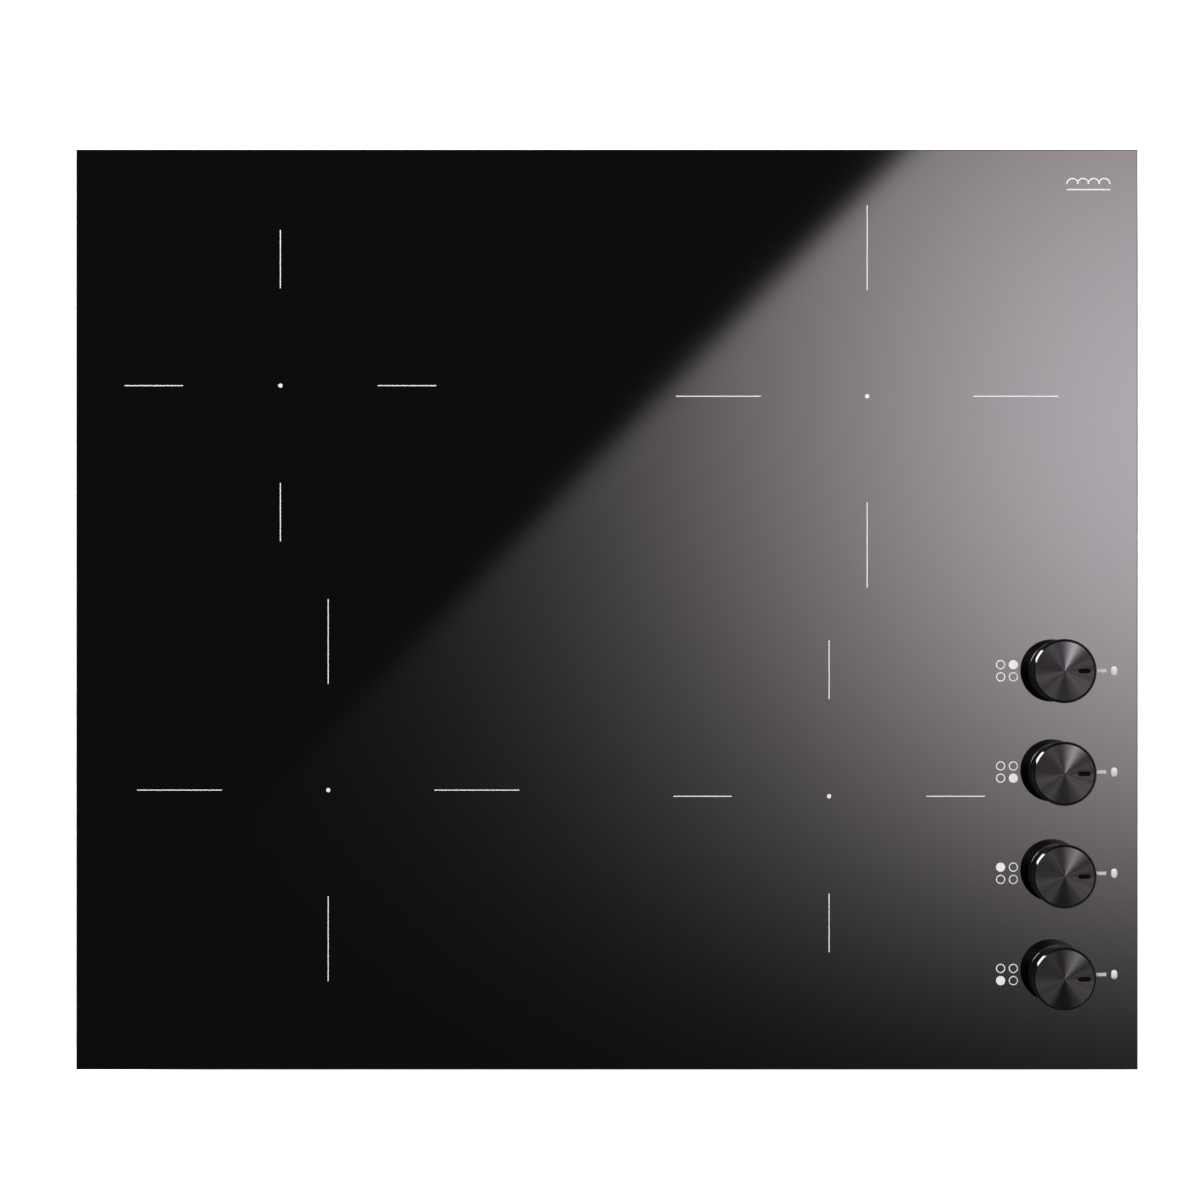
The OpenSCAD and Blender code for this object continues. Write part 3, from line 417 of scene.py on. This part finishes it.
def mesh_object(name, build, place):
    """An object whose mesh is filled by build(bm)."""
    mesh = bpy.data.meshes.new(name)
    bm = bmesh.new()
    build(bm)
    bmesh.ops.recalc_face_normals(bm, faces=bm.faces)
    bm.to_mesh(mesh)
    bm.free()
    piece = bpy.data.objects.new(name, mesh)
    piece.location = place
    bpy.context.scene.collection.objects.link(piece)
    return piece


def ellipse(bm, half_x, half_y, z, steps):
    """A ring of new vertices."""
    angles = [2 * math.pi * i / steps for i in range(steps)]
    return [bm.verts.new((half_x * math.cos(a), half_y * math.sin(a), z)) for a in angles]


def turned(bm, outline):
    """A closed outline of (radius, height) turned about Z. Points at radius 0 close the ends."""
    rings = []
    for radius, height in outline:
        if radius == 0:
            rings.append([bm.verts.new((0, 0, height))])
        else:
            rings.append(ellipse(bm, radius, radius, height, TURN_STEPS))
    for lower, upper in zip(rings, rings[1:] + rings[:1]):
        if len(lower) == len(upper) == 1:
            continue
        for i in range(TURN_STEPS):
            j = (i + 1) % TURN_STEPS
            corners = [
                lower[i % len(lower)], lower[j % len(lower)],
                upper[j % len(upper)], upper[i % len(upper)],
            ]
            bm.faces.new(list(dict.fromkeys(corners)))


def cosine(degrees):
    return math.cos(math.radians(degrees))


def sine(degrees):
    return math.sin(math.radians(degrees))


def arc(centre, radius, start, end, steps):
    """Points of an arc in degrees, as (radius, height)."""
    angles = [math.radians(start + (end - start) * i / steps) for i in range(steps + 1)]
    return [(centre[0] + radius * math.cos(a), centre[1] + radius * math.sin(a)) for a in angles]


def outlined_plate(name, outlines, low, high, edge):
    """A flat plate with rounded edges. The first outline is its rim and the others are holes."""
    curve = bpy.data.curves.new(name, "CURVE")
    curve.dimensions = "2D"
    curve.fill_mode = "BOTH"
    curve.extrude = (high - low) / 2 - edge
    curve.bevel_depth = edge
    curve.bevel_resolution = 3
    curve.offset = -edge
    for outline in outlines:
        spline = curve.splines.new("POLY")
        spline.points.add(len(outline) - 1)
        for point, (x, y) in zip(spline.points, outline):
            point.co = (x, y, 0, 1)
        spline.use_cyclic_u = True
    shape = bpy.data.objects.new(name + "_curve", curve)
    bpy.context.scene.collection.objects.link(shape)
    bpy.context.view_layer.update()
    evaluated = shape.evaluated_get(bpy.context.evaluated_depsgraph_get())
    mesh = bpy.data.meshes.new_from_object(evaluated)
    bpy.data.objects.remove(shape)
    for vertex in mesh.vertices:
        vertex.co.z += (low + high) / 2
    piece = bpy.data.objects.new(name, mesh)
    bpy.context.scene.collection.objects.link(piece)
    return piece


def slot_outline(start, end, width):
    """A slot with round ends along X."""
    r = width / 2
    return arc((end - r, 0), r, -90, 90, 12) + arc((start + r, 0), r, 90, 270, 12)


def knob_section(height, rim_r, disc_r, floor):
    """The closed section of a knob's shell, as points of (radius, height)."""
    base_r = rim_r - 1.7 * MM
    foot, corner = 0.5 * MM, 0.25 * MM
    hub_r, hub_z, hollow_z = 5.5 * MM, 0.6 * MM, height - 4 * MM
    lip, recess_r = disc_r + 0.06 * MM, disc_r + 0.01 * MM
    steep, shallow = 48, 68
    bevel_r = (rim_r - corner - lip + corner * cosine(steep)) / (cosine(steep) - cosine(shallow))
    bevel_at = (lip - bevel_r * cosine(shallow), height - bevel_r * sine(shallow))
    corner_z = bevel_at[1] + (bevel_r - corner) * sine(steep)
    rise, flare = corner_z - foot, rim_r - base_r
    return [
        (0, hub_z), (hub_r, hub_z), (hub_r, hollow_z), (rim_r - 3.2 * MM, hollow_z),
        (base_r - 2 * MM, 0.2 * MM), (base_r - 1.8 * MM, 0),
        *arc((base_r - foot, foot), foot, -90, 0, 6),
        *[(base_r + flare * t / 8, foot + rise * t / 8) for t in range(1, 8)],
        *arc((rim_r - corner, corner_z), corner, 0, steep, 5),
        *arc(bevel_at, bevel_r, steep, shallow, 8)[1:],
        (recess_r, height - 0.05 * MM), (recess_r, floor), (0, floor),
    ]


def knob(zone):
    """A knob's shell with its rounded rim, the spun disc let into its top, and its index."""
    low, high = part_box("knob_" + zone)
    disc_low, disc_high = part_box("knob_disc_" + zone)
    disc_r = (disc_high.x - disc_low.x) / 2
    floor, disc_top = disc_low.z - low.z, disc_high.z - low.z
    place = ((low.x + high.x) / 2, (low.y + high.y) / 2, low.z)

    outline = knob_section(high.z - low.z, (high.x - low.x) / 2, disc_r, floor)
    shell = mesh_object("knob_shell_" + zone, lambda bm: turned(bm, outline), place)
    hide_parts("knob_" + zone)
    finish_piece(shell, zone + "_knob", "knob_black", 40)

    circle = arc((0, 0), disc_r, 0, 360, TURN_STEPS)[:-1]
    index = slot_outline(INDEX_FROM, INDEX_TO, INDEX_WIDTH)
    disc = outlined_plate("knob_face_" + zone, [circle, index[::-1]], floor, disc_top, 0.03 * MM)
    disc.location = place
    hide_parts("knob_disc_" + zone)
    finish_piece(disc, zone + "_knob", "knob_spun_metal", 25)

    inlay_top = disc_top - INDEX_DEPTH
    inlay = outlined_plate("knob_index_" + zone, [index], floor, inlay_top, 0.02 * MM)
    inlay.location = place
    finish_piece(inlay, zone + "_knob", "seal_rubber", 25)


def bead(bm, half_x, half_y, dome):
    """A flat-bottomed oval drop, its rings closing up towards the rim."""
    rings, steps = 8, 48
    loops = []
    for i in range(rings):
        share = math.sin(math.pi / 2 * (i + 1) / rings)
        rise = dome * math.sqrt(max(0.0, 1 - share * share))
        loops.append(ellipse(bm, half_x * share, half_y * share, rise, steps))
    top = bm.verts.new((0, 0, dome))
    for i in range(steps):
        j = (i + 1) % steps
        bm.faces.new((top, loops[0][i], loops[0][j]))
        for inner, outer in zip(loops, loops[1:]):
            bm.faces.new((inner[i], outer[i], outer[j], inner[j]))
    bm.faces.new(loops[-1])


def off_mark(zone):
    """The oval off mark beside a knob: a drop of enamel, slightly domed."""
    low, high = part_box("knob_" + zone)
    place = ((low.x + high.x) / 2 + OFF_MARK_X, (low.y + high.y) / 2, GLASS_TOP)
    drop = mesh_object("off_mark_" + zone, lambda bm: bead(bm, *OFF_MARK_SIZE), place)
    finish_piece(drop, "casing", "white_enamel", 60)


# ---------------------------------------------------------------- stage

CAMERA_AT = Vector((0.0, -0.022, GLASS_TOP + 1.44))
CARD_Z = 2.3
# The glass mirrors 4% of it.
CARD_BRIGHTNESS = 0.442 / 0.04


def add_camera():
    """It looks straight down from above the front half. Its shift puts the glass in the frame."""
    data = bpy.data.cameras.new("camera")
    data.lens = 76.46
    data.shift_x = -0.0058
    data.shift_y = 0.0404
    camera = bpy.data.objects.new("camera", data)
    camera.location = CAMERA_AT
    bpy.context.scene.collection.objects.link(camera)
    bpy.context.scene.camera = camera


def stage_plane(name, middle, half_x, half_y):
    """A level rectangle that faces up."""
    def build(bm):
        signs = ((-1, -1), (1, -1), (1, 1), (-1, 1))
        bm.faces.new([bm.verts.new((x * half_x, y * half_y, 0)) for x, y in signs])
    plane = mesh_object(name, build, middle)
    if plane.data.polygons[0].normal.z < 0:
        plane.data.flip_normals()
    return plane


def add_floor():
    """A pale floor just below the casing, clear from below so that the underside can be seen."""
    floor = stage_plane("floor", (0, 0, -0.5 * MM), 40, 40)
    f = Finish("pale_floor", (0.8, 0.8, 0.8), 0.7)
    f.colour(f.tint(f.noise(6.0, 4.0), (0.79, 0.79, 0.79), (0.81, 0.81, 0.81)))
    f.shader.inputs["Emission Color"].default_value = (1, 1, 1, 1)
    f.shader.inputs["Emission Strength"].default_value = 0.85
    both = f.nodes.new("ShaderNodeMixShader")
    f.links.new(f.nodes.new("ShaderNodeNewGeometry").outputs["Backfacing"], both.inputs["Fac"])
    f.links.new(f.shader.outputs[0], both.inputs[1])
    f.links.new(f.nodes.new("ShaderNodeBsdfTransparent").outputs[0], both.inputs[2])
    f.links.new(both.outputs[0], f.nodes["Material Output"].inputs["Surface"])
    floor.data.materials.append(f.material)
    floor.visible_diffuse = False
    floor.visible_glossy = False


def card_glow(f, x, y):
    """A leaning bell curve, wider towards the rear than towards the front."""
    middle_x, middle_y = 0.3475, 0.0927
    sigma_x, sigma_rear, sigma_front = 0.1759, 0.1916, 0.1686
    lean = 0.143
    u = f.maths("DIVIDE", f.maths("SUBTRACT", x, middle_x), sigma_x)
    beyond = f.maths("SUBTRACT", y, middle_y)
    rear = f.maths("MAXIMUM", f.maths("DIVIDE", beyond, sigma_rear), 0.0)
    front = f.maths("MINIMUM", f.maths("DIVIDE", beyond, sigma_front), 0.0)
    v = f.maths("ADD", rear, front)
    upright = f.maths("ADD", f.maths("MULTIPLY", u, u), f.maths("MULTIPLY", v, v))
    leaning = f.maths("MULTIPLY", f.maths("MULTIPLY", u, v), 2 * lean)
    return f.maths("EXPONENT", f.maths("MULTIPLY", f.maths("ADD", upright, leaning), -0.5))


def card_mask(f, x, y):
    """1 on the lit side of the diagonal edge, 0 beyond it, and fading out towards the front."""
    edge_normal, edge_offset, edge_width = math.radians(-45), -0.0619, 0.0033
    front_fade_at, front_fade_width = -0.2194, 0.0486
    across = f.maths(
        "ADD",
        f.maths("MULTIPLY", x, math.cos(edge_normal)),
        f.maths("MULTIPLY", y, math.sin(edge_normal)),
    )
    edge = f.step(f.maths("SUBTRACT", across, edge_offset), edge_width)
    fade = f.step(f.maths("SUBTRACT", y, front_fade_at), front_fade_width)
    return f.maths("MULTIPLY", edge, fade)


def add_light_card():
    """A glowing card above, which the camera sees only mirrored, mostly in the glass.

    Its brightness is laid out in metres on the glass, where the mirrored card shows.
    """
    card = stage_plane("light_card", (0.75, 0.3, CARD_Z), 1.75, 1.6)
    material = bpy.data.materials.new("light_card")
    f = NodeBuilder(material)
    f.nodes.clear()
    stretch = 1 + (CARD_Z - GLASS_TOP) / (CAMERA_AT.z - GLASS_TOP)
    place = f.split(f.nodes.new("ShaderNodeNewGeometry").outputs["Position"])
    x = f.maths("DIVIDE", place["X"], stretch)
    from_middle = f.maths("DIVIDE", f.maths("SUBTRACT", place["Y"], CAMERA_AT.y), stretch)
    y = f.maths("ADD", from_middle, CAMERA_AT.y)
    light = f.maths("MULTIPLY", card_glow(f, x, y), card_mask(f, x, y))
    emission = f.nodes.new("ShaderNodeEmission")
    emission.inputs["Color"].default_value = (1.0, 0.912, 0.98, 1)
    f.put(emission.inputs["Strength"], f.maths("MULTIPLY", light, CARD_BRIGHTNESS))
    both = f.nodes.new("ShaderNodeAddShader")
    f.put(both.inputs[0], emission.outputs[0])
    f.put(both.inputs[1], f.nodes.new("ShaderNodeBsdfTransparent").outputs[0])
    f.put(f.nodes.new("ShaderNodeOutputMaterial").inputs["Surface"], both.outputs[0])
    card.data.materials.append(material)
    card.visible_camera = False
    card.visible_shadow = False


def add_area_light(name, at, towards, size, power, unlit):
    """A soft box that passes over the nodes named in unlit, which neither catch nor mirror it."""
    data = bpy.data.lights.new(name, "AREA")
    data.shape = "RECTANGLE"
    data.size, data.size_y = size
    data.energy = power
    lamp = bpy.data.objects.new(name, data)
    lamp.location = at
    lamp.rotation_euler = (Vector(towards) - Vector(at)).to_track_quat("-Z", "Y").to_euler()
    bpy.context.scene.collection.objects.link(lamp)
    passed_over = bpy.data.collections.new(name + "_passes_over")
    for node in unlit:
        passed_over.objects.link(frame["nodes"][node])
    for member in passed_over.collection_objects:
        member.light_linking.link_state = "EXCLUDE"
    lamp.light_linking.receiver_collection = passed_over


# The sky's grey at heights from 0 straight below, over 0.5 at the horizon, to 1 at the zenith.
SKY = (
    (0.0, 0.3), (0.46, 0.36), (0.5, 0.95), (0.58, 0.6),
    (0.64, 0.14), (0.7, 0.06), (0.85, 0.08), (1.0, 0.08),
)


def add_world():
    """Dark overhead, pale at the horizon, and a soft grey bounce from below."""
    world = bpy.data.worlds.new("studio")
    bpy.context.scene.world = world
    f = NodeBuilder(world)
    direction = f.split(f.nodes.new("ShaderNodeTexCoord").outputs["Generated"])
    ramp = f.nodes.new("ShaderNodeValToRGB")
    while len(ramp.color_ramp.elements) < len(SKY):
        ramp.color_ramp.elements.new(0.5)
    for element, (position, grey) in zip(ramp.color_ramp.elements, SKY):
        element.position = position
        element.color = (grey, grey, grey, 1)
    f.put(ramp.inputs["Fac"], f.spread(direction["Z"], 0.0, 1.0, -1.0, 1.0))
    f.put(f.nodes["Background"].inputs["Color"], ramp.outputs["Color"])


paint_cad_nodes()
for zone in ZONES:
    knob(zone)
    off_mark(zone)

add_camera()
add_floor()
add_light_card()
add_area_light(
    "key", (-1.83, 1.53, 2.16), (0.25, -0.12, 0.07), (1.28, 1.82), 195,
    unlit=("glass_top", "bottom_tray"),
)
add_world()
bpy.context.scene.view_settings.view_transform = "Standard"
